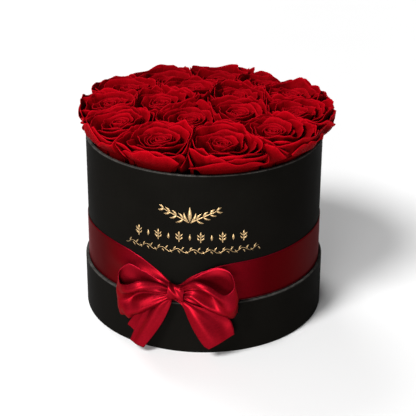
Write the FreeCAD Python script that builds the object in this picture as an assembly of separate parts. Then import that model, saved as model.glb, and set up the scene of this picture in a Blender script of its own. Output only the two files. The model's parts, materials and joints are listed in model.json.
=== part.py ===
"""Round flower box: a papered board tube standing in its own upturned lid, filled with preserved roses.

Millimetres, +Z up. The origin is the middle of the lid's underside, and the bow is tied at the front, -Y.
"""

import FreeCAD, Part
import math
import os

# ---- driving dimensions, mm and degrees ----
BOX_RADIUS = 95.0  # outside of the papered tube
BOX_HEIGHT = 147.0  # underside to rim
LID_HEIGHT = 43.4
BOARD = 1.8  # thickness of the grey board
PAPER = 0.4  # thickness of the cover paper with its glue
LID_CLEARANCE = 0.5  # radial, between the box and the lid's turned-in paper
RIM_TURN_IN = 14.0  # how far the cover paper runs down inside a rim
UNDER_TURN_IN = 12.0  # how far it runs under a bottom
BASE_PAPER_INSET = 0.8  # the base paper's edge inside the box's or lid's side
RIM_ROUND = 0.7  # the papered rims are slightly rounded

FOAM_DEPTH = 21.0  # top of the foam below the rim
FOAM_HEIGHT = 62.0
FOAM_FIT = 1.5  # radial gap between the foam and the lining

OUTER_ROSE_ANGLES = (222, 257, 294, 328, 0, 31, 61, 94, 129, 161, 191)  # anticlockwise from +X
INNER_ROSE_ANGLES = (263, 335, 50, 122, 192)
OUTER_ROSE_INSET = 18.4  # lining to the middle of an outer bloom
INNER_ROSE_RADIUS = 33.5  # box axis to the middle of an inner bloom
OUTER_TILT = 5.0
INNER_TILT = 2.0
ROSE_MAX_RADIUS = 24.0
ROSE_HEIGHT = 38.0
ROSE_DEPTH = 13.0  # underside of an outer bloom below the rim
INNER_RISE = 3.5  # the middle blooms stand higher
ROSE_GAP = 0.6
BLOOM_OUTLINE = ((0.0, 0.24), (0.2, 0.66), (0.45, 0.93), (0.68, 1.0), (0.88, 0.84), (1.0, 0.5))
BLOOM_WIDEST = 0.68  # share of the height
BLOOM_CUP = 0.12  # depth of the hollow in the top, as a share of the height
BLOOM_CUP_FLOOR = 0.32  # radius of the hollow's floor, as a share of the widest radius
STEM_RADIUS = 2.2
STEM_IN_FOAM = 32.0
CALYX_HEIGHT = 6.0

RIBBON = 0.6  # thickness of the satin ribbon
RIBBON_SHOWN = 36.2  # height of the band above the lid
RIBBON_LIFT = 0.4  # gap between the band and the lid's rim
GATHER_REACH = 78.0  # the band starts to gather this far to each side of the knot
GATHER_SHOULDER = 0.27  # how far its top edge has dropped half-way there
KNOT_WIDTH = 13.5
KNOT_HEIGHT = 15.0
KNOT_DEPTH = 11.0
KNOT_RISE = 9.2  # middle of the knot above the lid's rim
KNOT_ROUND = 3.2
LOOP_DEPTH = 15.0
LOOP_SWING = 6.0  # degrees that a loop's far end leans back towards the box
LOOP_GAP = 1.0  # between a loop's back and the tail behind it
# Front outlines of the bow from the knot's middle outwards: (sideways, up).
LEFT_LOOP = ((34.0, 19.0), (42.0, 13.0), (45.5, -3.0), (42.0, -17.0), (34.0, -24.0))
RIGHT_LOOP = ((35.0, 26.0), (43.0, 19.0), (47.5, 3.0), (46.0, -9.0), (40.0, -17.0))
LEFT_TAIL = ((1, -3), (4, -9), (25, -50.4), (36.3, -47.4), (40.4, -38), (20, -9.5), (6, -3))
RIGHT_TAIL = ((1, -3), (7, -8), (12, -20), (24, -45), (46, -28.8), (43, -19.5), (12, -3))
TAIL_LIFT = 0.6  # gap between a tail and the lid's side

# ---- levels and radii that follow from them ----
UNDER_PAPER = 2 * PAPER  # the base paper over the turned-in cover paper
LID_FLOOR = UNDER_PAPER + BOARD + PAPER
BOX_BOTTOM = LID_FLOOR
BOX_RIM = BOX_BOTTOM + BOX_HEIGHT
WALL_BOTTOM = BOX_BOTTOM + UNDER_PAPER
WALL_TOP = BOX_RIM - PAPER
WALL_OUTSIDE = BOX_RADIUS - PAPER
WALL_INSIDE = WALL_OUTSIDE - BOARD
LINING_INSIDE = WALL_INSIDE - PAPER
LID_WALL_INSIDE = BOX_RADIUS + LID_CLEARANCE + PAPER
LID_WALL_OUTSIDE = LID_WALL_INSIDE + BOARD
LID_RADIUS = LID_WALL_OUTSIDE + PAPER
FOAM_TOP = BOX_RIM - FOAM_DEPTH
FOAM_BOTTOM = FOAM_TOP - FOAM_HEIGHT
BOX_FLOOR_TOP = WALL_BOTTOM + BOARD + PAPER
BAND_RADIUS = BOX_RADIUS + RIBBON
LOOP_BACK = LID_RADIUS + TAIL_LIFT + RIBBON + LOOP_GAP
BAND_BOTTOM = LID_HEIGHT + RIBBON_LIFT
BAND_TOP = BAND_BOTTOM + RIBBON_SHOWN
KNOT_Z = LID_HEIGHT + KNOT_RISE
FAR = 2 * BOX_RADIUS  # past everything, for cutting tools
RIM_PASSES = 12  # repeats that settle a bloom's radius at the rim


def disc(radius, bottom, top):
    return Part.makeCylinder(radius, top - bottom, FreeCAD.Vector(0, 0, bottom))


def ring(outside, inside, bottom, top):
    return disc(outside, bottom, top).cut(disc(inside, bottom, top))


def turned(outline):
    """A solid of revolution about Z from a closed outline of (radius, height) points."""
    points = [FreeCAD.Vector(r, 0, z) for r, z in outline]
    wire = Part.makePolygon(points + points[:1])
    return Part.Face(wire).revolve(FreeCAD.Vector(0, 0, 0), FreeCAD.Vector(0, 0, 1), 360)


def rounded_rims(shape, radii, height):
    """Rounds the circular edges of those radii at that height."""
    edges = []
    for edge in shape.Edges:
        if not isinstance(edge.Curve, Part.Circle) or abs(edge.Curve.Center.z - height) > 1e-6:
            continue
        if any(abs(edge.Curve.Radius - r) < 1e-6 for r in radii):
            edges.append(edge)
    return shape.makeFillet(RIM_ROUND, edges)


def cover_paper(outside, bottom, top):
    """Paper round a board tube: turned under its bottom, up its side, over its rim and down inside."""
    skin = outside - PAPER
    inner = skin - BOARD
    outline = (
        (outside - UNDER_TURN_IN, bottom),
        (outside, bottom),
        (outside, top),
        (inner - PAPER, top),
        (inner - PAPER, top - RIM_TURN_IN),
        (inner, top - RIM_TURN_IN),
        (inner, top - PAPER),
        (skin, top - PAPER),
        (skin, bottom + PAPER),
        (outside - UNDER_TURN_IN, bottom + PAPER),
    )
    paper = turned(outline)
    paper = rounded_rims(paper, (outside, inner - PAPER), top)
    return rounded_rims(paper, (outside,), bottom)


def base_paper(outside, bottom):
    """The disc glued under a box or lid, over the cover paper's turned-in edge."""
    sheet = disc(outside - BASE_PAPER_INSET, bottom, bottom + PAPER)
    glued = disc(outside - UNDER_TURN_IN, bottom + PAPER, bottom + UNDER_PAPER)
    return sheet.fuse(glued)


def lid_nodes():
    """The upturned lid that the box stands in."""
    panel_top = UNDER_PAPER + BOARD
    return {
        "lid_panel": disc(LID_WALL_INSIDE, UNDER_PAPER, panel_top),
        "lid_wall": ring(LID_WALL_OUTSIDE, LID_WALL_INSIDE, UNDER_PAPER, LID_HEIGHT - PAPER),
        "lid_wrap": cover_paper(LID_RADIUS, PAPER, LID_HEIGHT),
        "lid_panel_paper": base_paper(LID_RADIUS, 0),
        "lid_lining": disc(LID_WALL_INSIDE, panel_top, LID_FLOOR),
    }


def box_nodes():
    """The board tube with its floor, cover paper and lining."""
    lining_top = BOX_RIM - RIM_TURN_IN
    floor_top = WALL_BOTTOM + BOARD
    side = ring(WALL_INSIDE, LINING_INSIDE, floor_top, lining_top)
    return {
        "box_floor": disc(WALL_INSIDE, WALL_BOTTOM, floor_top),
        "box_wall": ring(WALL_OUTSIDE, WALL_INSIDE, WALL_BOTTOM, WALL_TOP),
        "box_wrap": cover_paper(BOX_RADIUS, BOX_BOTTOM + PAPER, BOX_RIM),
        "box_base_paper": base_paper(BOX_RADIUS, BOX_BOTTOM),
        "box_lining": side.fuse(disc(WALL_INSIDE, floor_top, BOX_FLOOR_TOP)).removeSplitter(),
    }


def bloom_share(height_share):
    """Radius of a bloom at a share of its height, as a share of its widest radius."""
    for (low, r_low), (high, r_high) in zip(BLOOM_OUTLINE, BLOOM_OUTLINE[1:]):
        if height_share <= high:
            return r_low + (r_high - r_low) * (height_share - low) / (high - low)
    return BLOOM_OUTLINE[-1][1]


def rose_places():
    """Each bloom as (x, y, tilt, underside level), with x and y at the middle of its widest section."""
    rings = (
        (OUTER_ROSE_ANGLES, LINING_INSIDE - OUTER_ROSE_INSET, OUTER_TILT, 0.0),
        (INNER_ROSE_ANGLES, INNER_ROSE_RADIUS, INNER_TILT, INNER_RISE),
    )
    places = []
    for angles, radius, tilt, rise in rings:
        for angle in angles:
            x = radius * math.cos(math.radians(angle))
            y = radius * math.sin(math.radians(angle))
            places.append((x, y, tilt, BOX_RIM - ROSE_DEPTH + rise))
    return places


def rim_limit(place):
    """Largest radius at which a leaning bloom still passes inside the box's rim."""
    x, y, tilt, underside = place
    lean = math.radians(tilt)
    foot = math.hypot(x, y) - BLOOM_WIDEST * ROSE_HEIGHT * math.sin(lean)
    radius = ROSE_MAX_RADIUS
    for _ in range(RIM_PASSES):
        # along the bloom's axis, to where its outer side passes the rim
        local = bloom_share(BLOOM_WIDEST) * radius
        along = (BOX_RIM - underside + local * math.sin(lean)) / math.cos(lean)
        share = bloom_share(along / ROSE_HEIGHT)
        room = LINING_INSIDE - ROSE_GAP - foot - along * math.sin(lean)
        radius = min(ROSE_MAX_RADIUS, room / math.cos(lean) / share)
    return radius


def bloom_radii(places):
    """Each bloom as wide as its neighbours, the rim and the largest size allow."""

    def apart(a, b):
        return math.hypot(a[0] - b[0], a[1] - b[1]) - ROSE_GAP

    caps = [min(ROSE_MAX_RADIUS, rim_limit(place)) for place in places]
    nearest = [min(apart(a, b) for b in places if b is not a) / 2 for a in places]
    radii = [min(cap, near) for cap, near in zip(caps, nearest)]
    for i, place in enumerate(places):
        others = [apart(place, other) - radii[j] for j, other in enumerate(places) if j != i]
        radii[i] = min(caps[i], *others)
    return radii


def bloom(radius):
    """A closed rose with its axis on Z and its underside at 0, slightly hollow on top."""
    points = [FreeCAD.Vector(r * radius, 0, h * ROSE_HEIGHT) for h, r in BLOOM_OUTLINE]
    side = Part.BSplineCurve()
    side.interpolate(points)
    cup_level = (1 - BLOOM_CUP) * ROSE_HEIGHT
    cup_edge = FreeCAD.Vector(BLOOM_CUP_FLOOR * radius, 0, cup_level)
    middle = FreeCAD.Vector(0, 0, cup_level)
    foot = FreeCAD.Vector(0, 0, 0)
    corners = (points[-1], cup_edge, middle, foot, points[0])
    straight = [Part.LineSegment(a, b).toShape() for a, b in zip(corners, corners[1:])]
    face = Part.Face(Part.Wire([side.toShape()] + straight))
    return face.revolve(foot, FreeCAD.Vector(0, 0, 1), 360)


def stem(radius, length):
    """The green calyx under a bloom and its cut stem, going down from 0."""
    top = bloom_share(0) * radius
    outline = (
        (0, 0),
        (top, 0),
        (top * 0.9, -CALYX_HEIGHT * 0.4),
        (STEM_RADIUS, -CALYX_HEIGHT),
        (STEM_RADIUS, -length),
        (0, -length),
    )
    return turned(outline)


def stood(shape, place):
    """Leans a rose outwards from the box's axis and puts it in its place."""
    x, y, tilt, underside = place
    outward = math.degrees(math.atan2(y, x))
    reach = math.hypot(x, y) - BLOOM_WIDEST * ROSE_HEIGHT * math.sin(math.radians(tilt))
    moved = shape.copy()
    moved.rotate(FreeCAD.Vector(0, 0, 0), FreeCAD.Vector(0, 1, 0), tilt)
    moved.translate(FreeCAD.Vector(reach, 0, underside))
    moved.rotate(FreeCAD.Vector(0, 0, 0), FreeCAD.Vector(0, 0, 1), outward)
    return moved


def flower_nodes():
    """Roses on short stems, pushed into a foam disc that stands on a support block."""
    places = rose_places()
    radii = bloom_radii(places)
    nodes = {}
    stems = []
    for number, (place, radius) in enumerate(zip(places, radii), 1):
        length = place[3] - FOAM_TOP + STEM_IN_FOAM
        nodes[f"rose_{number:02d}"] = stood(bloom(radius), place)
        nodes[f"stem_{number:02d}"] = stood(stem(radius, length), place)
        stems.append(nodes[f"stem_{number:02d}"])
    foam_radius = LINING_INSIDE - FOAM_FIT
    nodes["foam_disc"] = disc(foam_radius, FOAM_BOTTOM, FOAM_TOP).cut(Part.makeCompound(stems))
    nodes["support_block"] = disc(foam_radius, BOX_FLOOR_TOP, FOAM_BOTTOM)
    return nodes


def front_prism(outline, side):
    """A bar along Y from an outline given outwards and upwards of the knot's middle.

    side is -1 for the left and 1 for the right.
    """
    points = [FreeCAD.Vector(side * x, -FAR, KNOT_Z + z) for x, z in outline]
    face = Part.Face(Part.makePolygon(points + points[:1]))
    return face.extrude(FreeCAD.Vector(0, FAR, 0))


def ribbon_band():
    """The ribbon round the box, gathered from its full width down to the knot."""
    over = BAND_TOP + RIBBON
    low = KNOT_Z + KNOT_HEIGHT / 2
    shoulder = BAND_TOP - (BAND_TOP - low) * GATHER_SHOULDER
    edges = []
    ends = []
    for side in (-1, 1):
        outer = FreeCAD.Vector(side * GATHER_REACH, -FAR, over)
        middle = FreeCAD.Vector(side * GATHER_REACH / 2, -FAR, shoulder)
        inner = FreeCAD.Vector(side * KNOT_WIDTH / 2, -FAR, low)
        curve = Part.BSplineCurve()
        curve.interpolate([outer, middle, inner])
        edges.append(curve.toShape())
        ends.append((outer, inner))
    for left_end, right_end in zip(*ends):
        edges.append(Part.LineSegment(left_end, right_end).toShape())
    outline = Part.Wire(Part.__sortEdges__(edges))
    notch = Part.Face(outline).extrude(FreeCAD.Vector(0, FAR, 0))
    return ring(BAND_RADIUS, BOX_RADIUS, BAND_BOTTOM, BAND_TOP).cut(notch)


def knot():
    """The ribbon's knot: a rounded block against the band."""
    front = BAND_RADIUS + KNOT_DEPTH
    corner = FreeCAD.Vector(-KNOT_WIDTH / 2, -front, KNOT_Z - KNOT_HEIGHT / 2)
    block = Part.makeBox(KNOT_WIDTH, front, KNOT_HEIGHT, corner)
    sharp = [edge for edge in block.Edges if edge.BoundBox.YMin < -front + 1e-6]
    return block.makeFillet(KNOT_ROUND, sharp).cut(disc(BAND_RADIUS, 0, BOX_RIM))


def bow_loop(outline, side, knot_solid):
    """One loop of ribbon: a flat oval band on its edge, trimmed to its fan-shaped front outline."""
    reach = max(x for x, _ in outline)
    curve_back = LOOP_BACK - math.sqrt(LOOP_BACK**2 - (reach / 2) ** 2)
    middle = FreeCAD.Vector(side * reach / 2, curve_back - LOOP_BACK - LOOP_DEPTH / 2, 0)
    ovals = []
    for inset in (0.0, RIBBON):
        ellipse = Part.Ellipse(FreeCAD.Vector(0, 0, 0), reach / 2 - inset, LOOP_DEPTH / 2 - inset)
        solid = Part.Face(Part.Wire(ellipse.toShape())).extrude(FreeCAD.Vector(0, 0, BOX_RIM))
        solid.rotate(FreeCAD.Vector(0, 0, 0), FreeCAD.Vector(0, 0, 1), side * LOOP_SWING)
        solid.translate(middle)
        ovals.append(solid)
    root = KNOT_HEIGHT / 2 - KNOT_ROUND / 2
    fan = front_prism(((-KNOT_WIDTH / 4, root),) + outline + ((-KNOT_WIDTH / 4, -root),), side)
    return ovals[0].cut(ovals[1]).common(fan).cut(knot_solid)


def bow_tail(outline, side, knot_solid):
    """One loose end of the ribbon, hanging down over the lid's side."""
    inside = LID_RADIUS + TAIL_LIFT
    shell = ring(inside + RIBBON, inside, 0, BOX_RIM)
    return shell.common(front_prism(outline, side)).cut(knot_solid)


def ribbon_nodes():
    tied = knot()
    return {
        "ribbon_band": ribbon_band(),
        "bow_knot": tied,
        "bow_loop_left": bow_loop(LEFT_LOOP, -1, tied),
        "bow_loop_right": bow_loop(RIGHT_LOOP, 1, tied),
        "bow_tail_left": bow_tail(LEFT_TAIL, -1, tied),
        "bow_tail_right": bow_tail(RIGHT_TAIL, 1, tied),
    }


def main():
    os.makedirs("parts", exist_ok=True)
    for nodes in (lid_nodes(), box_nodes(), flower_nodes(), ribbon_nodes()):
        for name, shape in nodes.items():
            shape.exportStep(f"parts/{name}.step")


main()
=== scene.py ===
"""Looks of the round flower box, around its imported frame: roses, satin ribbon, papers, foil and studio."""

import json
import math
import random

import bpy
import numpy as np
from mathutils import Matrix, Vector


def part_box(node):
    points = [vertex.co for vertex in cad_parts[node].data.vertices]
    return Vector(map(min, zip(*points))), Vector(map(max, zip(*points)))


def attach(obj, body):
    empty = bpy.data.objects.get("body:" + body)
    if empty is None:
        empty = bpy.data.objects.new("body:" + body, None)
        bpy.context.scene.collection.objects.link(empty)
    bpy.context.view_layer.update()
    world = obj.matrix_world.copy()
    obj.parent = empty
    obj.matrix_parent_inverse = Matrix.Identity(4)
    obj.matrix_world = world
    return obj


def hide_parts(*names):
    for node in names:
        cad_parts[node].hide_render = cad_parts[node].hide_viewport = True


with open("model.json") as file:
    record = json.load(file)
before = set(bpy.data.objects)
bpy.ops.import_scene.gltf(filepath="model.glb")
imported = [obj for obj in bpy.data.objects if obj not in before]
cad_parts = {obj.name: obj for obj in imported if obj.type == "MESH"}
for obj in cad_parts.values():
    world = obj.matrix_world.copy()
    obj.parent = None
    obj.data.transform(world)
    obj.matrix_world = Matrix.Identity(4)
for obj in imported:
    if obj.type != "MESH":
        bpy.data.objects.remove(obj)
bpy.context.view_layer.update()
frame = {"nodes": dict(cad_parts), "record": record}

MM = 0.001

# ---- sizes read from the frame, in metres ----
BOX_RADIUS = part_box("box_wrap")[1].x
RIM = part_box("box_wrap")[1].z
LINING_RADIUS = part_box("box_lining")[1].x - 0.4 * MM
LID_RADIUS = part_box("lid_wrap")[1].x
LID_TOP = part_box("lid_wrap")[1].z
BAND_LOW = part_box("ribbon_band")[0].z
BAND_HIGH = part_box("ribbon_band")[1].z
KNOT_LOW, KNOT_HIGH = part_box("bow_knot")

# ---- the picture's point of view ----
FRONT_TURN = 12.9  # degrees that the eye stands to the right of the bow
EYE_DISTANCE = 0.9751  # level distance from the box's axis, in metres
EYE_HEIGHT = 0.5377
EYE_DOWN = 25.17
EYE_PAN = -0.195
EYE_ROLL = 0.35
LENS = 112.9  # mm on a 36 mm sensor


# ------------------------------------------------------------------ node helpers
def material(name):
    """A new node material: itself, its node tree and its shader."""
    made = bpy.data.materials.new(name)
    made.use_nodes = True
    tree = made.node_tree
    return made, tree, tree.nodes["Principled BSDF"]


def node(tree, kind, inputs=(), **settings):
    """A shader node with its settings, and its inputs as values or as sockets to link from."""
    made = tree.nodes.new(kind)
    for key, value in settings.items():
        setattr(made, key, value)
    for key, value in dict(inputs).items():
        if isinstance(value, bpy.types.NodeSocket):
            tree.links.new(value, made.inputs[key])
        else:
            made.inputs[key].default_value = value
    return made


def noise(tree, place, scale, detail=4.0, rough=0.5, stretch=None):
    """Noise texture over a place in metres; stretch scales the axes."""
    if stretch:
        place = node(tree, "ShaderNodeMapping", {"Vector": place, "Scale": stretch}).outputs[0]
    inputs = {"Vector": place, "Scale": scale, "Detail": detail, "Roughness": rough}
    return node(tree, "ShaderNodeTexNoise", inputs).outputs["Fac"]


def spread(tree, value, low, high, to_low=0.0, to_high=1.0):
    """A value mapped from low..high to to_low..to_high, and held there outside that range."""
    inputs = {"Value": value, "From Min": low, "From Max": high, "To Min": to_low, "To Max": to_high}
    return node(tree, "ShaderNodeMapRange", inputs).outputs["Result"]


def maths(tree, operation, a, b=0.0):
    return node(tree, "ShaderNodeMath", {0: a, 1: b}, operation=operation).outputs[0]


def blend_colour(tree, share, a, b):
    """Colour a where share is 0 and b where it is 1; each is a socket or a linear RGB colour."""
    made = tree.nodes.new("ShaderNodeMix")
    made.data_type = "RGBA"
    for socket, value in ((0, share), (6, a), (7, b)):
        if isinstance(value, bpy.types.NodeSocket):
            tree.links.new(value, made.inputs[socket])
        elif socket == 0:
            made.inputs[0].default_value = value
        else:
            made.inputs[socket].default_value = (*value, 1.0)
    return made.outputs[2]


def bump(tree, shader, height, distance, strength=1.0, below=None):
    """Bump of a depth in metres on top of the bump below, set as the shader's normal."""
    inputs = {"Height": height, "Distance": distance, "Strength": strength}
    if below is not None:
        inputs["Normal"] = below
    out = node(tree, "ShaderNodeBump", inputs).outputs["Normal"]
    tree.links.new(out, shader.inputs["Normal"])
    return out


def combined(tree, x, y, z=0.0):
    return node(tree, "ShaderNodeCombineXYZ", {0: x, 1: y, 2: z}).outputs[0]


def object_place(tree):
    return node(tree, "ShaderNodeTexCoord").outputs["Object"]


def attribute(tree, name):
    """One of the floats that add_mesh stores at each point."""
    return node(tree, "ShaderNodeAttribute", attribute_name=name).outputs["Fac"]


# ------------------------------------------------------------------ materials
# Colours are linear RGB, noise scales are per metre, and bump depths are in metres.
def paper_material(name, tone, worn_and_highlit_rims):
    """Soft-touch black paper: fine fibres, faint mottling, and a paler line at the heights of the rims,
    partly wear and partly a painted highlight.
    """
    made, tree, shader = material(name)
    place = object_place(tree)
    mottle = noise(tree, place, 22.0, 5.0, 0.6)
    fibres = noise(tree, place, 2600.0, 3.0, 0.7)
    base = blend_colour(tree, spread(tree, mottle, 0.3, 0.7), tone, tuple(c * 1.35 for c in tone))
    specks = spread(tree, fibres, 0.55, 0.8, 0.0, 0.35)
    base = blend_colour(tree, specks, base, tuple(c * 2.2 for c in tone))
    if worn_and_highlit_rims:
        height = node(tree, "ShaderNodeSeparateXYZ", {0: place}).outputs[2]
        scuffs = noise(tree, place, 160.0, 4.0, 0.7)
        edge = None
        for level in worn_and_highlit_rims:
            gap = maths(tree, "ABSOLUTE", maths(tree, "SUBTRACT", height, level))
            near = spread(tree, gap, 0.0001, 0.0009, 1.0, 0.0)
            edge = near if edge is None else maths(tree, "MAXIMUM", edge, near)
        edge = maths(tree, "MULTIPLY", edge, spread(tree, scuffs, 0.35, 0.75, 0.25, 1.0))
        # a paler line at each rim's height, broken up by scuffs: partly real wear, partly a painted
        # highlight where light catches the edge
        base = blend_colour(tree, edge, base, (0.085, 0.082, 0.076))
    tree.links.new(base, shader.inputs["Base Color"])
    rough = spread(tree, mottle, 0.3, 0.7, 0.45, 0.56)
    tree.links.new(rough, shader.inputs["Roughness"])
    shader.inputs["Specular IOR Level"].default_value = 0.004
    coarse = bump(tree, shader, noise(tree, place, 420.0, 4.0, 0.6), 0.00006, 0.5)
    bump(tree, shader, fibres, 0.00003, 0.6, coarse)
    return made


def board_material():
    """Grey board with flecks of pulp."""
    made, tree, shader = material("grey_board")
    place = object_place(tree)
    pulp = noise(tree, place, 900.0, 5.0, 0.7)
    base = blend_colour(tree, spread(tree, pulp, 0.3, 0.7), (0.2, 0.185, 0.16), (0.34, 0.32, 0.28))
    tree.links.new(base, shader.inputs["Base Color"])
    shader.inputs["Roughness"].default_value = 0.9
    bump(tree, shader, pulp, 0.0001)
    return made


def foam_material(name, dark, light, cell):
    """Open-celled foam: crumbly, pitted and dull."""
    made, tree, shader = material(name)
    place = object_place(tree)
    cells = node(tree, "ShaderNodeTexVoronoi", {"Vector": place, "Scale": cell}).outputs["Distance"]
    base = blend_colour(tree, spread(tree, cells, 0.0, 0.7), dark, light)
    tree.links.new(base, shader.inputs["Base Color"])
    shader.inputs["Roughness"].default_value = 0.95
    bump(tree, shader, cells, 0.0006)
    return made


def stem_material():
    """Matte green calyx and stem with long fibres."""
    made, tree, shader = material("rose_stems")
    place = object_place(tree)
    fibres = noise(tree, place, 260.0, 4.0, 0.6, (1.0, 1.0, 0.15))
    base = blend_colour(tree, spread(tree, fibres, 0.3, 0.7), (0.02, 0.055, 0.012), (0.07, 0.14, 0.03))
    tree.links.new(base, shader.inputs["Base Color"])
    shader.inputs["Roughness"].default_value = 0.6
    bump(tree, shader, fibres, 0.0002)
    return made


def petal_material():
    """Velvety preserved petals: painted shade deep at the foot and down by the rim, a painted highlight at
    the lip, finely veined lengthwise.
    """
    made, tree, shader = material("rose_petals")
    place = object_place(tree)
    rise = attribute(tree, "rise")
    across = attribute(tree, "across")
    shade = attribute(tree, "shade")
    vein = noise(tree, combined(tree, across, maths(tree, "MULTIPLY", rise, 0.12), shade), 26.0, 3.0, 0.6)
    patches = noise(tree, place, 90.0, 3.0, 0.5)
    lengthwise = maths(tree, "MULTIPLY", rise, 0.35)
    own = maths(tree, "MULTIPLY", shade, 9.0)
    crumple = noise(tree, combined(tree, across, lengthwise, own), 5.5, 4.0, 0.55)
    # dark at the foot and brighter up the petal: painted shade deep inside the bloom
    base = blend_colour(tree, spread(tree, rise, 0.3, 0.95), (0.035, 0.0, 0.0003), (0.32, 0.0004, 0.004))
    base = blend_colour(tree, spread(tree, shade, 0.0, 1.0, 0.0, 0.45), base, (0.16, 0.0, 0.0016))
    # darker along the crumpled folds: painted shade
    base = blend_colour(tree, spread(tree, crumple, 0.45, 0.7, 0.0, 0.45), base, (0.11, 0.0, 0.001))
    base = blend_colour(tree, spread(tree, vein, 0.45, 0.75, 0.0, 0.35), base, (0.12, 0.0, 0.001))
    base = blend_colour(tree, spread(tree, patches, 0.5, 0.8, 0.0, 0.3), base, (0.42, 0.001, 0.006))
    # a paler band at the very lip: painted highlight where light catches the petal's edge
    base = blend_colour(tree, spread(tree, rise, 0.9, 0.99, 0.0, 0.45), base, (0.5, 0.0028, 0.011))
    height = node(tree, "ShaderNodeSeparateXYZ", {0: place}).outputs[2]
    # darker low down, near the rim and among the blooms: painted shade
    low = spread(tree, height, RIM - 2 * MM, RIM + 20 * MM, 0.95, 0.0)
    base = blend_colour(tree, low, base, (0.06, 0.0, 0.0006))
    tree.links.new(base, shader.inputs["Base Color"])
    shader.inputs["Roughness"].default_value = 0.66
    shader.inputs["Specular IOR Level"].default_value = 0.01
    shader.inputs["Sheen Weight"].default_value = 0.08
    shader.inputs["Sheen Roughness"].default_value = 0.45
    shader.inputs["Sheen Tint"].default_value = (0.8, 0.005, 0.01, 1.0)
    first = bump(tree, shader, crumple, 0.0013, 0.8)
    second = bump(tree, shader, vein, 0.00018, 0.8, first)
    bump(tree, shader, noise(tree, place, 1400.0, 3.0, 0.6), 0.00004, 0.6, second)
    return made


def satin_material():
    """Red satin: fine floats across the ribbon, a firm selvedge, and a broad tinted gloss."""
    made, tree, shader = material("satin_ribbon")
    along = attribute(tree, "along")
    across = attribute(tree, "across")
    place = object_place(tree)
    weft = maths(tree, "MULTIPLY", along, 3200.0)
    warp = maths(tree, "MULTIPLY", across, 140.0)
    weave = noise(tree, combined(tree, weft, warp), 1.0, 2.0, 0.5)
    cloudy = noise(tree, place, 60.0, 3.0, 0.5)
    base = blend_colour(tree, spread(tree, weave, 0.3, 0.7), (0.165, 0.002, 0.006), (0.22, 0.0034, 0.0095))
    base = blend_colour(tree, spread(tree, cloudy, 0.4, 0.75, 0.0, 0.3), base, (0.26, 0.005, 0.016))
    # painted shade: the band is darkened away from the knot, the bow's pieces are not
    base = blend_colour(tree, attribute(tree, "painted_band_shade"), base, (0.05, 0.0002, 0.0016))
    edge = spread(tree, maths(tree, "ABSOLUTE", across), 0.0180, 0.0186)
    base = blend_colour(tree, maths(tree, "MULTIPLY", edge, 0.5), base, (0.25, 0.004, 0.016))
    tree.links.new(base, shader.inputs["Base Color"])
    shader.inputs["Metallic"].default_value = 0.75
    shader.inputs["Specular IOR Level"].default_value = 0.05
    shader.inputs["Specular Tint"].default_value = (0.48, 0.08, 0.11, 1.0)
    rough = spread(tree, weave, 0.3, 0.7, 0.36, 0.44)
    tree.links.new(rough, shader.inputs["Roughness"])
    first = bump(tree, shader, weave, 0.00003, 0.5)
    bump(tree, shader, edge, 0.0001, 0.6, first)
    return made


def foil_material():
    """Hot-stamped gold foil with a slightly uneven press."""
    made, tree, shader = material("gold_foil")
    place = object_place(tree)
    press = noise(tree, place, 900.0, 4.0, 0.6)
    base = blend_colour(tree, spread(tree, press, 0.35, 0.7), (0.38, 0.25, 0.115), (0.56, 0.39, 0.2))
    tree.links.new(base, shader.inputs["Base Color"])
    shader.inputs["Metallic"].default_value = 0.85
    tree.links.new(spread(tree, press, 0.3, 0.7, 0.3, 0.48), shader.inputs["Roughness"])
    bump(tree, shader, press, 0.00003, 0.6)
    return made


# ------------------------------------------------------------------ mesh helpers
def add_mesh(name, points, faces, shader, attributes=()):
    """A mesh object from points in metres, with one float per point for each attribute."""
    mesh = bpy.data.meshes.new(name)
    mesh.from_pydata([tuple(p) for p in points], [], [tuple(f) for f in faces])
    mesh.validate()
    for key, values in dict(attributes).items():
        layer = mesh.attributes.new(key, "FLOAT", "POINT")
        layer.data.foreach_set("value", np.asarray(values, np.float32))
    mesh.polygons.foreach_set("use_smooth", [True] * len(mesh.polygons))
    made = bpy.data.objects.new(name, mesh)
    bpy.context.scene.collection.objects.link(made)
    mesh.materials.append(shader)
    return made


def grid_faces(columns, rows, start=0, closed=False):
    """Quads of a grid whose points run row by row within each column."""
    faces = []
    for i in range(columns if closed else columns - 1):
        a = start + i * rows
        b = start + (i + 1) % columns * rows
        for j in range(rows - 1):
            faces.append((a + j, b + j, b + j + 1, a + j + 1))
    return faces


def thicken(piece, thickness, offset=0.0):
    """Gives a sheet its thickness, half to each side, or all outwards with an offset of 1."""
    solid = piece.modifiers.new("thickness", "SOLIDIFY")
    solid.thickness = thickness
    solid.offset = offset
    solid.use_even_offset = False


def ease(x):
    """Smooth step from 0 to 1."""
    x = np.clip(x, 0.0, 1.0)
    return x * x * (3 - 2 * x)


def mix(a, b, share):
    return a + (b - a) * share


# ------------------------------------------------------------------ roses
HEART_PETALS = 8
MIDDLE_PETALS = 8
OUTER_PETALS = 12
PETAL_COLUMNS = 23
PETAL_ROWS = 15
PETAL_THICKNESS = 0.45 * MM
OUTER_TILT = math.radians(4.0)
INNER_TILT = math.radians(2.0)
LEAN_SWAY = 4.0  # degrees by which a bloom's lean differs either way
SPIN_SWAY = 6.0
PIVOT_HEIGHT = 0.6  # share of its height at which a bloom leans
BLOOM_HEIGHT = 0.97  # of its CAD solid
BLOOM_GROWTH = 1.62  # petals reach past the bloom's CAD solid before neighbours press them back
INNER_GROWTH = 1.8
NEIGHBOUR_REACH = 75 * MM
NEIGHBOUR_OVERLAP = 0.6 * MM  # how far a petal may pass the middle between two blooms
PRESSED_FROM = 0.78  # share of the way there from which neighbours press petals back
LINING_GAP = 1.1 * MM
BEND_START = 0.6 * MM  # height above the rim below which petals stay inside the lining
RIM_BEND = 11 * MM  # height over which they then spread to their full overhang
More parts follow.
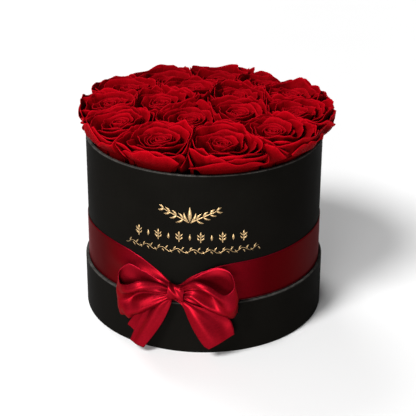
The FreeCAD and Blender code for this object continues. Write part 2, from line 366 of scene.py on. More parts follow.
RIM_ROOM = 7 * MM  # the last stretch, in which petals are pressed back from the rim's limit
OVERHANG = 11 * MM  # how far petals reach out over the rim on average
OVERHANG_SWAY = 3.5 * MM  # more of it on the eye's right
BACK_DROP = 3.5 * MM  # the farthest blooms stand this much lower
SIDE_RISE = 4 * MM  # and those at the sides higher
PETAL_NOTCHES = ((4.4, 0.28), (2.6, 0.12), (1.4, 0.09))  # height in mm, width as a share
# Waves across a petal: depth in ruffles, least and most turns, slant up the petal, power of its rise.
PETAL_WAVES = ((1.2, 1.8, 3.4, 1.5, 2), (0.9, 5, 9, 2, 1.6), (0.3, 14, 22, 0, 6))
PETAL_CREASES = ((2.1, 0.16), (1.4, 0.09))  # depth in ruffles, width as a share
# Stations from a bloom's heart to its outermost petals.
PETAL_REACH = ((0.0, 0.06), (0.25, 0.25), (0.5, 0.5), (0.75, 0.78), (1.0, 1.0))  # top radius
PETAL_TOP = ((0.0, 0.83), (0.25, 0.86), (0.5, 0.9), (0.7, 0.95), (0.85, 0.97), (1.0, 0.91))  # height
PETAL_FLARE = ((0.0, 1.0), (0.4, 1.0), (0.7, 0.5), (1.0, 0.13))  # low bulges, high opens
PETAL_WRAP = ((0.0, 150.0), (0.25, 105.0), (0.5, 70.0), (1.0, 44.0))  # half the angle it spans


def station(table, share):
    """The value between two stations of a table."""
    return float(np.interp(share, [row[0] for row in table], [row[1] for row in table]))


def petal_grid(rng, share, radius, height):
    """One petal of a bloom standing on Z, in metres; share is 0 at the heart and 1 outermost."""
    across = np.linspace(-1, 1, PETAL_COLUMNS)[:, None]
    rise = 1 - (1 - np.linspace(0, 1, PETAL_ROWS)[None, :]) ** 1.5
    across, rise = np.broadcast_arrays(across, rise)
    reach = radius * station(PETAL_REACH, share) * rng.uniform(0.96, 1.04)
    half_angle = math.radians(station(PETAL_WRAP, share)) * rng.uniform(0.82, 1.12)
    top = height * (station(PETAL_TOP, share) + rng.uniform(-0.03, 0.03))
    start = mix(0.45, 0.02, share)
    drop = mix(0.5, 7.0, share) * MM * rng.uniform(0.5, 1.4)
    lip = mix(0.0, 4.5, share**1.5) * MM * rng.uniform(0.1, 1.3)
    roll = mix(0.0, 3.0, share) * MM
    rolls = np.where(across > 0, rng.uniform(0.0, 1.2), rng.uniform(0.0, 1.2))
    helix = mix(0.6, 2.2, share) * MM

    # The upper edge: falling to both sides, with a soft point and a few notches.
    edge = 1 - drop / top * np.abs(across) ** rng.uniform(2.0, 3.0)
    for size, width in PETAL_NOTCHES:
        tip = rng.uniform(-0.7, 0.7)
        notch = rng.uniform(-0.8, 1.0) * size * MM / top
        edge = edge + notch * np.exp(-(((across - tip) / width) ** 2)) * share
    climb = start + (edge - start) * rise
    r = reach * np.maximum(climb, 0.02) ** station(PETAL_FLARE, share)
    opening = ease((rise - 0.6) / 0.4)
    r = r + lip * opening**1.6 + roll * rolls * np.abs(across) ** 3.5 * rise**2 + helix * across
    z = top * climb - lip * 0.7 * opening**3 - roll * rolls * 0.6 * np.abs(across) ** 5 * rise**3

    phase = [rng.uniform(0, 2 * math.pi) for _ in range(6)]
    ruffle = mix(0.12, 1.6, share) * MM
    for number, (depth, least, most, slant, power) in enumerate(PETAL_WAVES):
        wave = np.sin(across * rng.uniform(least, most) + phase[number] + rise * slant)
        r = r + ruffle * depth * wave * rise**power
    z = z + ruffle * 0.8 * np.sin(across * rng.uniform(4, 8) + phase[3]) * rise**4
    r = r + ruffle * 0.35 * np.sin(rise * 8 + across * 4 + phase[4])
    # Long creases run up the petal where it was folded when dried.
    for depth, width in PETAL_CREASES:
        crease = rng.uniform(-0.6, 0.6) + 0.2 * (rise - 0.5)
        fold = ruffle * depth * rng.uniform(0.3, 1.0)
        r = r - fold * np.exp(-(((across - crease) / width) ** 2)) * rise

    angle = across * half_angle * (0.42 + 0.58 * rise**0.7)
    return r, angle, z, across, rise


def rose_points(rng, radius, height):
    """All petals of one bloom: points, faces and the attributes that its material reads."""
    points, faces, layers = [], [], {"rise": [], "across": [], "shade": []}
    turn = rng.uniform(0, 2 * math.pi)
    # petals, shares of the way out, degrees on to the next
    whorls = (
        (HEART_PETALS, 0.0, 0.27, 140.0),
        (MIDDLE_PETALS, 0.33, 0.68, 104.0),
        (OUTER_PETALS, 0.74, 1.0, 81.0),
    )
    number = 0
    for count, low, high, step in whorls:
        for k in range(count):
            share = mix(low, high, k / (count - 1))
            r, angle, z, across, rise = petal_grid(rng, share, radius, height)
            turn += math.radians(step + rng.uniform(-14, 14))
            angle = angle + turn
            start = number * PETAL_COLUMNS * PETAL_ROWS
            points.append(np.stack([r * np.cos(angle), r * np.sin(angle), z], axis=-1).reshape(-1, 3))
            faces += grid_faces(PETAL_COLUMNS, PETAL_ROWS, start)
            # steeper for the outer petals, so that their lower parts come out darker: painted shade
            layers["rise"].append((rise ** (1 + 1.6 * share**2)).reshape(-1))
            layers["across"].append((across * (0.2 + 0.8 * share)).reshape(-1))
            layers["shade"].append(np.full(rise.size, rng.random()))
            number += 1
    return np.concatenate(points), faces, {key: np.concatenate(parts) for key, parts in layers.items()}


def soft_limit(value, limit, start):
    """value, pressed back smoothly so that it stays under limit; it is untouched below start."""
    room = np.maximum(limit - start, 1e-6)
    return np.where(value > start, limit - room * np.exp(-(value - start) / room), value)


def press_together(points, middle, others):
    """Presses a bloom's petals back from its neighbours and keeps its lower part inside the box."""
    for other in others:
        apart = (other - middle).xy
        half = apart.length / 2
        if apart.length > NEIGHBOUR_REACH:
            continue
        way = np.array(apart.normalized())
        along = (points[:, :2] - np.array(middle.xy)) @ way
        pressed = soft_limit(along, half + NEIGHBOUR_OVERLAP, half * PRESSED_FROM)
        points[:, :2] += (pressed - along)[:, None] * way
    out = np.linalg.norm(points[:, :2], axis=1)
    above = ease((points[:, 2] - RIM - BEND_START) / RIM_BEND)
    right = math.radians(FRONT_TURN)
    rightward = (points[:, 0] * math.cos(right) + points[:, 1] * math.sin(right)) / out
    overhang = OVERHANG + OVERHANG_SWAY * rightward
    limit = LINING_RADIUS - LINING_GAP + above * (overhang + BOX_RADIUS - LINING_RADIUS)
    pressed = soft_limit(out, limit, limit - RIM_ROOM)
    points[:, :2] *= (pressed / np.maximum(out, 1e-6))[:, None]
    return points


def stand_bloom(points, rng, middle, foot, height, tilt):
    """Leans a bloom outwards, spins it, and stands it at its height in the round of the box."""
    lean = tilt + math.radians(rng.uniform(-LEAN_SWAY, LEAN_SWAY))
    spin = math.atan2(middle.y, middle.x) + math.radians(rng.uniform(-SPIN_SWAY, SPIN_SWAY))
    turn = Matrix.Rotation(spin, 4, "Z") @ Matrix.Rotation(lean, 4, "Y")
    pivot = Vector((middle.x, middle.y, foot + height * PIVOT_HEIGHT))
    placed = Matrix.Translation(pivot) @ turn @ Matrix.Translation((0, 0, -height * PIVOT_HEIGHT))
    placed = np.array(placed)
    points = points @ placed[:3, :3].T + placed[:3, 3]
    eye = math.radians(FRONT_TURN)
    depth = middle.y * math.cos(eye) - middle.x * math.sin(eye)
    rise = rng.uniform(-1.5, 1.0) * MM - BACK_DROP * ease((depth / BOX_RADIUS - 0.4) / 0.4)
    points[:, 2] += rise + SIDE_RISE * (middle.xy.length**2 - depth**2) / BOX_RADIUS**2
    return points


def build_roses(petals):
    """One bloom of many petals for each rose of the frame."""
    names = sorted(n for n in frame["nodes"] if n.startswith("rose_"))
    middles = {}
    for name in names:
        low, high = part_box(name)
        middles[name] = (low + high) / 2
    for number, name in enumerate(names):
        rng = random.Random(100 + number)
        low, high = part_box(name)
        middle = middles[name]
        outer = middle.xy.length > BOX_RADIUS / 2
        tilt = OUTER_TILT if outer else INNER_TILT
        growth = BLOOM_GROWTH if outer else INNER_GROWTH
        height = (high.z - low.z) * BLOOM_HEIGHT
        radius = max(high.x - low.x, high.y - low.y) / 2 * growth
        points, faces, layers = rose_points(rng, radius, height)
        points = stand_bloom(points, rng, middle, low.z, height, tilt)
        points = press_together(points, middle, [m for n, m in middles.items() if n != name])
        made = add_mesh(f"bloom_{name[-2:]}", points, faces, petals, layers)
        thicken(made, PETAL_THICKNESS)
        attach(made, "box")
        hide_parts(name)


# ------------------------------------------------------------------ ribbon
RIBBON_WIDTH = 38 * MM
RIBBON_THICKNESS = 0.35 * MM
PATCH_ROWS = 25
KNOT_FOLDS = 0.36  # share of its width that shows where the knot folds it
LOOP_COLUMNS = 120
LOOP_PLEATS = 4.0
LOOP_GATHERS = (1.2, 1.4)  # mm deep at the two ends of a loop
TAIL_COLUMNS = 60
TAIL_PLEATS = 3.0
TAIL_GATHERS = (0.8, 0.0)
TAIL_BACK_GATHERS = (0.5, 0.0)


def front_point(x, out, z):
    """A point given in mm: sideways, outwards from the lid's side, and up."""
    side = math.sqrt((LID_RADIUS / MM) ** 2 - x * x)
    return (x * MM, -(side + out) * MM, z * MM)


def smooth_through(values, count):
    """A Catmull-Rom curve through the rows of values, sampled evenly by station."""
    values = np.asarray(values, float)
    ends = np.concatenate([2 * values[:1] - values[1:2], values, 2 * values[-1:] - values[-2:-1]])
    at = np.linspace(0, len(values) - 1, count)
    i = np.minimum(at.astype(int), len(values) - 2)
    f = (at - i).reshape(-1, *([1] * (values.ndim - 1)))
    a, b, c, d = (ends[i + k] for k in range(4))
    square = 2 * a - 5 * b + 4 * c - d
    cube = 3 * b - a - 3 * c + d
    return 0.5 * (2 * b + (c - a) * f + square * f**2 + cube * f**3)


def patch_points(stations, side, columns, gathers, pleats, frill=None):
    """Points of a stretch of ribbon through stations of (top, bottom, bulges from low to high).

    Points are (sideways, out, up) in mm, bulges are mm along the cloth's normal, and gathers are
    the pleats' depth in mm at the two ends. frill is (middle, half-length, depth in mm, waves) of
    the ripples along the lower edge.
    """
    top = smooth_through([front_point(*s[0]) for s in stations], columns)
    low = smooth_through([front_point(*s[1]) for s in stations], columns)
    bulge = smooth_through([(0.0, *s[2], 0.0) for s in stations], columns) * MM
    share = np.linspace(0, 1, PATCH_ROWS)
    base = low[:, None, :] + (top - low)[:, None, :] * share[None, :, None]
    bulges = np.stack([smooth_through(row[:, None], PATCH_ROWS)[:, 0] for row in bulge])
    at = np.linspace(0, 1, columns)[:, None]
    depth = gathers[0] * np.exp(-at / 0.1) + gathers[1] * np.exp(-(1 - at) / 0.1)
    pleat = depth * MM * np.cos(math.pi * 2 * pleats * share[None, :] + 2.2 * at)
    if frill:
        middle, half, ripple, waves = frill
        away = (at - middle) / half
        window = np.exp(-(away**2)) * np.exp(-share[None, :] / 0.16)
        pleat = pleat + ripple * MM * window * np.cos(2 * math.pi * waves * away + 3 * share[None, :])
    along = np.gradient((top + low) / 2, axis=0)
    normal = np.cross(along, top - low)
    normal /= np.linalg.norm(normal, axis=1, keepdims=True)
    return base + side * normal[:, None, :] * (bulges + pleat)[:, :, None]


def cloth(name, leaves, satin, joined=None):
    """A ribbon piece of one leaf of points, or of two that are joined along the row numbered joined."""
    points, faces, layers = [], [], {"along": [], "across": []}
    share = np.linspace(-0.5, 0.5, PATCH_ROWS)
    for number, leaf in enumerate(leaves):
        columns = len(leaf)
        faces += grid_faces(columns, PATCH_ROWS, number * columns * PATCH_ROWS)
        steps = np.linalg.norm(np.diff(leaf[:, PATCH_ROWS // 2], axis=0), axis=1)
        layers["along"].append(np.repeat(np.concatenate([[0], np.cumsum(steps)]), PATCH_ROWS))
        layers["across"].append(np.tile(share * RIBBON_WIDTH, columns))
        points.append(leaf.reshape(-1, 3))
    if joined is not None:
        for i in range(len(leaves[0]) - 1):
            a = i * PATCH_ROWS + joined
            b = len(points[0]) + a
            faces.append((a, b, b + PATCH_ROWS, a + PATCH_ROWS))
    layers = {key: np.concatenate(parts) for key, parts in layers.items()}
    made = add_mesh(name, np.concatenate(points), faces, satin, layers)
    thicken(made, RIBBON_THICKNESS)
    return made


# Stations from the knot, behind the loop, round its far end, and back to the knot in front.
LEFT_LOOP = (
    ((-3.0, 3.0, 59.5), (-3.5, 2.0, 49.0), (0, 0, 0, 0, 0)),
    ((-14.0, 4.2, 65.0), (-14.0, 2.8, 42.0), (0, 0, 0.5, 0, 0)),
    ((-27.0, 4.0, 69.5), (-27.0, 2.0, 34.0), (0, 0, 0, -1.0, 0)),
    ((-37.5, 5.5, 72.0), (-39.0, 3.0, 31.0), (0, 0, 0.5, -1.5, 0)),
    ((-44.5, 10.0, 65.5), (-46.0, 7.0, 31.0), (1, 1, 1.5, 1, 0.5)),
    ((-42.5, 15.0, 58.5), (-43.0, 9.5, 27.5), (1.5, 1.5, 1.0, 2, 1)),
    ((-35.0, 17.0, 60.5), (-35.0, 10.0, 28.5), (3.0, 1.0, -5.5, -3.0, 3.0)),
    ((-24.5, 13.5, 65.0), (-26.0, 9.5, 34.0), (3.0, 0.0, -7.0, -1.0, 4.0)),
    ((-12.0, 8.0, 63.0), (-13.0, 8.0, 43.0), (1.5, -1.0, -2.5, 1.5, 1.5)),
    ((-3.5, 5.5, 59.0), (-3.5, 5.0, 49.5), (0, 0, 0, 0, 0)),
)
RIGHT_LOOP = (
    ((5.5, 3.0, 60.0), (5.5, 2.0, 49.0), (0, 0, 0, 0, 0)),
    ((14.0, 4.0, 67.0), (14.0, 2.8, 43.0), (0, 0, 0.5, 0, 0)),
    ((23.0, 4.0, 73.5), (25.0, 2.0, 38.0), (0, 0, 1.0, 0.5, 0)),
    ((34.0, 6.0, 78.0), (37.0, 3.0, 36.0), (0, 0, 1.5, 1.0, -1.0)),
    ((43.5, 11.0, 75.0), (47.0, 8.0, 38.5), (1, 1, 1.5, 0.5, 0.5)),
    ((47.0, 16.0, 65.0), (48.0, 11.0, 39.5), (1, 1.5, 2.5, 2.0, 1)),
    ((40.5, 17.5, 60.0), (44.0, 12.0, 36.5), (2.5, 4.0, 4.5, 3.5, 2.5)),
    ((28.0, 14.5, 67.5), (27.0, 10.0, 44.0), (2.0, -2.5, -7.5, -3.5, 3.5)),
    ((16.0, 9.0, 68.5), (15.0, 8.0, 51.5), (1.0, -1.5, -3.5, 1.0, 2.5)),
    ((5.5, 5.5, 60.0), (5.5, 5.0, 51.0), (0, 0, 0, 0, 0)),
)
LEFT_FRILL = (0.66, 0.14, 1.7, 1.1)  # as in patch_points
# Stations from the knot to the cut end, of each tail's front leaf and the leaf folded behind it.
LEFT_TAIL = (
    ((-0.5, 6.0, 50.0), (-6.0, 4.0, 51.0), (0, 0.5, 0)),
    ((-3.0, 6.0, 42.0), (-17.0, 5.0, 46.0), (0.5, 2.5, 1)),
    ((-7.5, 6.5, 31.0), (-25.0, 6.0, 34.0), (0.5, 3.5, 2)),
    ((-14.0, 8.5, 19.5), (-30.5, 8.0, 21.5), (0.5, 3.0, 2)),
    ((-23.5, 11.5, 5.2), (-35.5, 11.0, 8.2), (0.5, 1.5, 1)),
)
LEFT_TAIL_BACK = (
    ((-0.7, 4.5, 50.0), (-6.0, 3.0, 51.0), (0, 0, 0)),
    ((-3.4, 3.6, 42.0), (-20.0, 2.5, 44.0), (0, 0, 0)),
    ((-8.0, 2.6, 31.0), (-30.0, 1.5, 32.0), (0, 0, 0)),
    ((-14.8, 1.6, 19.0), (-40.0, 1.5, 16.5), (0, 0, 0)),
    ((-24.6, 1.2, 4.0), (-38.5, 1.2, 14.0), (0, 0, 0)),
)
RIGHT_TAIL = (
    ((6.5, 5.0, 50.0), (2.0, 5.0, 49.0), (0, 0.5, 0)),
    ((18.0, 5.5, 45.0), (7.5, 5.5, 44.0), (1.0, 1.5, 0.5)),
    ((31.0, 6.0, 40.5), (11.5, 6.5, 34.5), (3.0, 2.5, 0.5)),
    ((42.0, 7.0, 33.5), (17.0, 8.5, 23.8), (3.5, 2.0, 0.0)),
    ((45.4, 9.0, 27.0), (24.0, 10.8, 13.6), (2.5, 2.0, 0.5)),
    ((46.6, 10.5, 21.0), (28.6, 12.0, 10.4), (1.5, 1.5, 0.5)),
)
RIGHT_TAIL_BACK = (
    ((6.0, 3.5, 50.0), (2.4, 3.6, 49.0), (0, 0, 0)),
    ((15.0, 3.0, 45.0), (7.4, 2.4, 44.0), (0, 0, 0)),
    ((22.0, 1.5, 38.0), (11.3, 1.6, 34.0), (0, 0, 0)),
    ((28.0, 1.2, 28.0), (17.2, 1.2, 22.8), (0, 0, 0)),
    ((33.0, 1.2, 14.5), (24.9, 1.0, 9.6), (0, 0, 0)),
    ((35.0, 1.2, 11.0), (28.6, 1.0, 7.6), (0, 0, 0)),
)


# The band's upper edge round the front: (sideways, up) in mm.
BAND_EDGE = (
    *((-95, 80), (-72, 82), (-46, 80.8), (-29, 76.3), (-14, 68), (0, 57.5)),
    *((11, 65.5), (23, 71.5), (40, 76.3), (68, 78), (95, 80)),
)
BAND_LIFT = 0.35 * MM  # the middle of the cloth from the box's side
FOLD_HEIGHT = 5.4  # mm that the band's upper fold stands out beside the knot
FOLD_REACH = 54 * MM  # the folds fade out this far from the knot
SHADE_GAP_REACH = 52 * MM  # and so does the gap in the band's painted shade round the knot
# how far the band's painted shade goes towards its dark colour
BAND_PAINTED_SHADE = 0.94


def build_band(satin):
    """The ribbon round the box, its upper edge brought down to the knot in long soft folds, with painted
    shade on it away from the knot.
    """
    columns, rows = 260, 22
    angles = np.linspace(0, 2 * math.pi, columns, endpoint=False) - math.pi / 2
    share = np.linspace(0, 1, rows)
    edge = smooth_through(BAND_EDGE, 200) * MM
    points = []
    for angle in angles:
        x = BOX_RADIUS * math.cos(angle)
        front = math.sin(angle) < 0
        high = float(np.interp(x, edge[:, 0], edge[:, 1])) if front else BAND_HIGH
        pull = float(ease(1.2 - abs(x) / FOLD_REACH)) if front else 0.0
        for t in share:
            z = BAND_LOW + (high - BAND_LOW) * t
            wave = 0.5 + 0.5 * math.cos(2 * math.pi * (2.2 * t + 0.9 * abs(x) / (60 * MM)))
            fold = math.exp(-(((t - 0.6) / 0.2) ** 2)) * (1 - t) ** 0.4 * 1.4
            lift = BAND_LIFT + pull * MM * (wave * math.sin(math.pi * t) ** 0.6 + FOLD_HEIGHT * fold)
            r = BOX_RADIUS + lift
            points.append((r * math.cos(angle), r * math.sin(angle), z))
    aside = np.abs(BOX_RADIUS * np.cos(angles))
    # the band gets painted shade, lifted near the knot where it meets the brighter bow
    shade_lift = np.clip(1.25 - aside / SHADE_GAP_REACH, 0, 1) * (np.sin(angles) < 0)
    layers = {
        "along": np.repeat(angles * BOX_RADIUS, rows),
        "across": np.tile((share - 0.5) * RIBBON_WIDTH, columns),
        "painted_band_shade": np.repeat(BAND_PAINTED_SHADE * (1 - shade_lift), rows),
    }
    made = add_mesh("satin_band", points, grid_faces(columns, rows, closed=True), satin, layers)
    thicken(made, RIBBON_THICKNESS)
    return made


KNOT_SHIFT = Vector((2.0, 0, 2.0)) * MM  # the soft knot sits a little to the right and up


def build_knot(satin):
    """The tight turn of ribbon over the bow's middle: a wrap crossing it on the slant."""
    columns, rows = 64, 33
    middle = (KNOT_LOW + KNOT_HIGH) / 2 + KNOT_SHIFT
    half = (KNOT_HIGH - KNOT_LOW) / 2
    turn = np.linspace(0, 2 * math.pi, columns, endpoint=False)[:, None]
    t = np.linspace(-1, 1, rows)[None, :]
    turn, t = np.broadcast_arrays(turn, t)
    pinch = 0.8 + 0.2 * np.abs(t) ** 2
    # The slanting fold falls from upper left to lower right across the front.
    across = t + 0.95 * np.sin(turn) + 0.1
    fold = 0.13 * np.exp(-((across / 0.3) ** 2)) - 0.09 * np.exp(-(((across - 0.62) / 0.22) ** 2))
    fine = 0.025 * np.cos(7 * across + 1.0)
    swell = pinch * (0.95 + (fold + fine) * (np.cos(turn) < 0))
    x = middle.x + half.x * (0.93 * t + 0.07 * np.sin(turn))
    y = middle.y + half.y * swell * np.cos(turn)
    z = middle.z + half.z * swell * np.sin(turn) * (1 - 0.06 * t)
    layers = {
        "along": np.repeat(np.linspace(0, 0.05, columns), rows),
        "across": np.tile(np.linspace(-0.5, 0.5, rows) * RIBBON_WIDTH, columns),
    }
    points = np.stack([x, y, z], axis=-1).reshape(-1, 3)
    made = add_mesh("satin_knot", points, grid_faces(columns, rows, closed=True), satin, layers)
    thicken(made, RIBBON_THICKNESS)
    return made


def build_tail(name, front, behind, joined, satin):
    """A tail of the bow: ribbon folded lengthwise, its two leaves meeting along one edge."""
    front = patch_points(front, 1, TAIL_COLUMNS, TAIL_GATHERS, TAIL_PLEATS)
    behind = patch_points(behind, 1, TAIL_COLUMNS, TAIL_BACK_GATHERS, TAIL_PLEATS)
    return cloth(name, [front, behind], satin, joined)


def build_ribbon(satin):
    """The six pieces of the ribbon, each put on the box in place of its CAD node; the table lists the flat
    size that each was cut to.
    """
    band = build_band(satin)
    knot = build_knot(satin)
    loop = patch_points(LEFT_LOOP, 1, LOOP_COLUMNS, LOOP_GATHERS, LOOP_PLEATS, LEFT_FRILL)
    left = cloth("satin_loop_left", [loop], satin)
    loop = patch_points(RIGHT_LOOP, -1, LOOP_COLUMNS, LOOP_GATHERS, LOOP_PLEATS)
    right = cloth("satin_loop_right", [loop], satin)
    tail_left = build_tail("satin_tail_left", LEFT_TAIL, LEFT_TAIL_BACK, PATCH_ROWS - 1, satin)
    tail_right = build_tail("satin_tail_right", RIGHT_TAIL, RIGHT_TAIL_BACK, 0, satin)
    around = 2 * math.pi * BOX_RADIUS
    # piece, the node it stands for, its flat size in metres, how it is held
    sheets = (
        (band, "ribbon_band", (RIBBON_WIDTH, around), "stretched"),
        (knot, "bow_knot", (RIBBON_WIDTH * KNOT_FOLDS, 0.045), "folded"),
        (left, "bow_loop_left", (RIBBON_WIDTH, 0.096), "gathered"),
        (right, "bow_loop_right", (RIBBON_WIDTH, 0.1), "gathered"),
        (tail_left, "bow_tail_left", (RIBBON_WIDTH, 0.056), "folded"),
        (tail_right, "bow_tail_right", (RIBBON_WIDTH, 0.052), "folded"),
    )
    for piece, node_name, flat, held in sheets:
        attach(piece, "box")
        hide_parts(node_name)


# ------------------------------------------------------------------ gold print
FOIL_TURN = 6.5  # degrees from the bow to the print's middle
FOIL_LIFT = 0.05 * MM
FOIL_THICKNESS = 0.06 * MM
# Heights of the three rows of ornament above the ground, in mm.
SPRIG_LEVEL = 117.0
FRIEZE_LEVEL = 99.0
VINE_LEVEL = 87.5


def wrapped(points):
    """(sideways, up) in mm from the print's middle, laid round the box."""
    points = np.asarray(points, float)
    angle = points[..., 0] * MM / BOX_RADIUS + math.radians(FOIL_TURN)
    r = BOX_RADIUS + FOIL_LIFT
    return np.stack([r * np.sin(angle), -r * np.cos(angle), points[..., 1] * MM], axis=-1)


class Foil:
    """Collects printed strokes and makes one thin mesh of them."""

    def __init__(self):
        self.points = []
        self.faces = []

    def stroke(self, path, widths):
        """A line through the path's points whose width follows widths along it."""
        path = smooth_through(path, 8 * len(path))
        widths = np.interp(np.linspace(0, 1, len(path)), np.linspace(0, 1, len(widths)), widths)
        along = np.gradient(path, axis=0)
        along /= np.linalg.norm(along, axis=1, keepdims=True)
        across = np.stack([-along[:, 1], along[:, 0]], axis=1) * widths[:, None] / 2
        start = len(self.points)
        for at, way in zip(path, across):
            self.points += [at - way, at + way]
        self.faces += grid_faces(len(path), 2, start)

    def leaf(self, foot, degrees, length, width, curl=0.12):
        """A pointed leaf growing from its foot."""
        way = np.array([math.cos(math.radians(degrees)), math.sin(math.radians(degrees))])
        side = np.array([-way[1], way[0]])
        foot = np.asarray(foot, float)
        middle = foot + way * length * 0.5 + side * length * curl
        self.stroke([foot, middle, foot + way * length], [0.15, width * 0.8, width, width * 0.6, 0.1])

    def print_on(self, name, foil):
        """Lays the strokes on the box's side as a thin film."""
        made = add_mesh(name, wrapped(self.points), self.faces, foil)
        thicken(made, FOIL_THICKNESS, 1.0)
        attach(made, "box")


def build_spray(foil):
    """Two leafy stems that part to both sides below three upright leaves."""
    spray = Foil()
    for side in (-1, 1):
        stem = [(side * x, SPRIG_LEVEL - 6.0 + 10.0 * (x / 20) ** 0.9) for x in (0.6, 5, 10, 15, 20)]
        spray.stroke(stem, [0.9, 0.7, 0.5])
        for k, (x, rise) in enumerate(stem[1:]):
            lean = 40 - 5 * k
            for sign in (-1, 1):
                angle = 15 + sign * lean
                angle = angle if side > 0 else 180 - angle
                spray.leaf((x, rise), angle, 6.4 - 0.5 * k, 1.8, 0.1 * sign * side)
    spray.leaf((0, SPRIG_LEVEL - 5.0), 90, 12.5, 3.0, 0.0)
    for sign in (-1, 1):
        spray.leaf((sign * 0.9, SPRIG_LEVEL - 5.4), 90 - sign * 24, 9.0, 2.2, -0.1 * sign)
    spray.print_on("foil_spray", foil)


def build_frieze(foil):
    """A row of small sprigs with a single leaf between each two."""
    frieze = Foil()
    for k in range(11):
        x = (k - 5) * 8.3
        if k % 2:
            frieze.leaf((x, FRIEZE_LEVEL - 2.6), 90, 5.2, 1.8, 0.0)
            continue
        stem = [(x, FRIEZE_LEVEL + up) for up in (-4.2, 0.0, 2.0)]
        frieze.stroke(stem, [0.8, 0.7, 0.5])
        frieze.leaf((x, FRIEZE_LEVEL + 1.2), 90, 3.6, 1.6, 0.0)
        for level in (-2.2, 0.4):
            for sign in (-1, 1):
                frieze.leaf((x, FRIEZE_LEVEL + level), 90 - sign * 48, 3.6, 1.3, -0.12 * sign)
    frieze.print_on("foil_frieze", foil)


def build_vine(foil):
    """A thin winding stem with small leaves on both sides."""
    vine = Foil()
    winding = [(x, VINE_LEVEL + 1.5 * math.sin(x * 0.5)) for x in np.arange(-54, 54.5, 1.5)]
    vine.stroke(winding, [0.3, 0.5, 0.5, 0.3])
    for k in range(17):
        x = (k - 8) * 2 * math.pi
        vine.leaf((x, VINE_LEVEL), 62, 3.8, 1.1, 0.1)
        vine.leaf((x + math.pi, VINE_LEVEL), -52, 3.0, 0.9, 0.1)
    vine.print_on("foil_vine", foil)


def build_print(foil):
    """Plain leaf ornament in gold, in three rows one above another."""
    build_spray(foil)
    build_frieze(foil)
    build_vine(foil)


# ------------------------------------------------------------------ studio
FLOOR_RADIUS = 6.0  # metres, as are the lights' distances and sizes
# name, kind, azimuth from the eye, elevation, distance, angle or size, strength
LIGHTS = (
    ("key_light", "SUN", -41, 47, 2.0, math.radians(18), 3.3),
    ("back_light", "SUN", -150, 45, 2.0, math.radians(30), 1.25),
    ("soft_light", "AREA", -12, 7, 1.1, 0.34, 10),
)


def build_studio():
    """A pale floor, a faint even sky, and three soft lights."""
    bpy.ops.mesh.primitive_circle_add(vertices=96, radius=FLOOR_RADIUS, fill_type="NGON")
    floor = bpy.context.object
    floor.name = "studio_floor"
    made, tree, shader = material("studio_floor")
    place = object_place(tree)
    base = blend_colour(tree, noise(tree, place, 3.0), (0.83, 0.83, 0.83), (0.86, 0.86, 0.86))
    tree.links.new(base, shader.inputs["Base Color"])
    shader.inputs["Roughness"].default_value = 0.8
    floor.data.materials.append(made)

    world = bpy.data.worlds.new("studio")
    bpy.context.scene.world = world
    world.use_nodes = True
    back = world.node_tree.nodes["Background"]
    back.inputs[0].default_value = (1.0, 1.0, 1.0, 1.0)
    back.inputs[1].default_value = 0.15

    for name, kind, azimuth, elevation, distance, size, power in LIGHTS:
        light = bpy.data.lights.new(name, kind)
        if kind == "SUN":
            light.angle = size
        else:
            light.size = size
        light.energy = power
        lamp = bpy.data.objects.new(name, light)
        bpy.context.scene.collection.objects.link(lamp)
        a, e = math.radians(azimuth + FRONT_TURN), math.radians(elevation)
        way = Vector((math.sin(a) * math.cos(e), -math.cos(a) * math.cos(e), math.sin(e)))
        lamp.location = way * distance + Vector((0, 0, RIM / 2))
        lamp.rotation_euler = way.to_track_quat("Z", "Y").to_euler()


def build_camera():
    """The photograph's point of view."""
    eye = bpy.data.cameras.new("camera")
    eye.lens = LENS
    eye.sensor_width = 36.0
    eye.clip_start = 0.05
    camera = bpy.data.objects.new("camera", eye)
    bpy.context.scene.collection.objects.link(camera)
    turn = math.radians(FRONT_TURN)
    place = Vector((EYE_DISTANCE * math.sin(turn), -EYE_DISTANCE * math.cos(turn), EYE_HEIGHT))
    aim = Matrix.Rotation(turn + math.radians(EYE_PAN), 4, "Z")
    aim = aim @ Matrix.Rotation(math.radians(90 - EYE_DOWN), 4, "X")
    aim = aim @ Matrix.Rotation(math.radians(EYE_ROLL), 4, "Z")
    camera.matrix_world = Matrix.Translation(place) @ aim
    bpy.context.scene.camera = camera


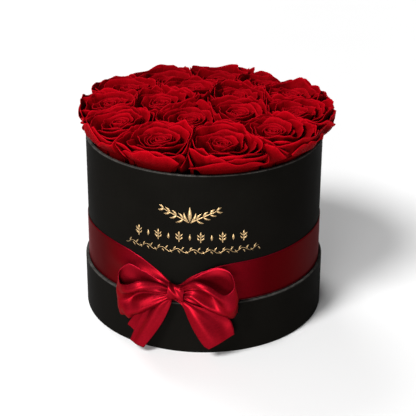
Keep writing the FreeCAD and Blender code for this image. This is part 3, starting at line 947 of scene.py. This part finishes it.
# ------------------------------------------------------------------ papers, board and foam
LAP_WIDTH = 15 * MM
LAP_THICKNESS = 0.26 * MM
LAP_INSET = 0.9 * MM  # a lap ends this far from a rim or the lid's foot
LAP_COVERED = 6 * MM  # how far the box's lap runs down inside the lid


def finish_cad_nodes():
    """Gives every carried-over CAD node its detailed material, and returns the cover paper's."""
    cover = paper_material("cover_paper", (0.0033, 0.003, 0.0025), (RIM, LID_TOP))
    lining = paper_material("lining_paper", (0.014, 0.013, 0.012), ())
    board = board_material()
    shaders = {
        "cover_paper": cover,
        "lining_paper": lining,
        "grey_board": board,
        "support_foam": foam_material("support_foam", (0.55, 0.55, 0.53), (0.8, 0.8, 0.78), 350.0),
        "floral_foam": foam_material("floral_foam", (0.03, 0.06, 0.02), (0.09, 0.16, 0.05), 1400.0),
        "rose_stems": stem_material(),
    }
    slots = {s["node"]: s["material_slot"] for s in frame["record"]["subparts"]}
    for name, thing in frame["nodes"].items():
        if slots[name] in shaders:
            thing.data.materials.clear()
            thing.data.materials.append(shaders[slots[name]])
    return cover


def build_seams(paper):
    """Where the cover paper's ends lap over each other at the back of the box and the lid."""
    for name, body, radius, foot, top in (
        ("box_paper_lap", "box", BOX_RADIUS, LID_TOP - LAP_COVERED, RIM - LAP_INSET),
        ("lid_paper_lap", "lid", LID_RADIUS, LAP_INSET, LID_TOP - LAP_INSET),
    ):
        angle = math.radians(90) + np.linspace(-0.5, 0.5, 9) * LAP_WIDTH / radius
        height = np.linspace(foot, top, 12)
        angle, height = np.meshgrid(angle, height, indexing="ij")
        r = radius - 0.02 * MM  # just inside the cover paper, so that no gap shows
        points = np.stack([r * np.cos(angle), r * np.sin(angle), height], axis=-1).reshape(-1, 3)
        made = add_mesh(name, points, grid_faces(9, 12), paper)
        thicken(made, LAP_THICKNESS, 1.0)
        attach(made, body)


build_camera()
build_studio()
build_seams(finish_cad_nodes())
build_roses(petal_material())
build_print(foil_material())
build_ribbon(satin_material())

bpy.context.scene.view_settings.view_transform = "Standard"
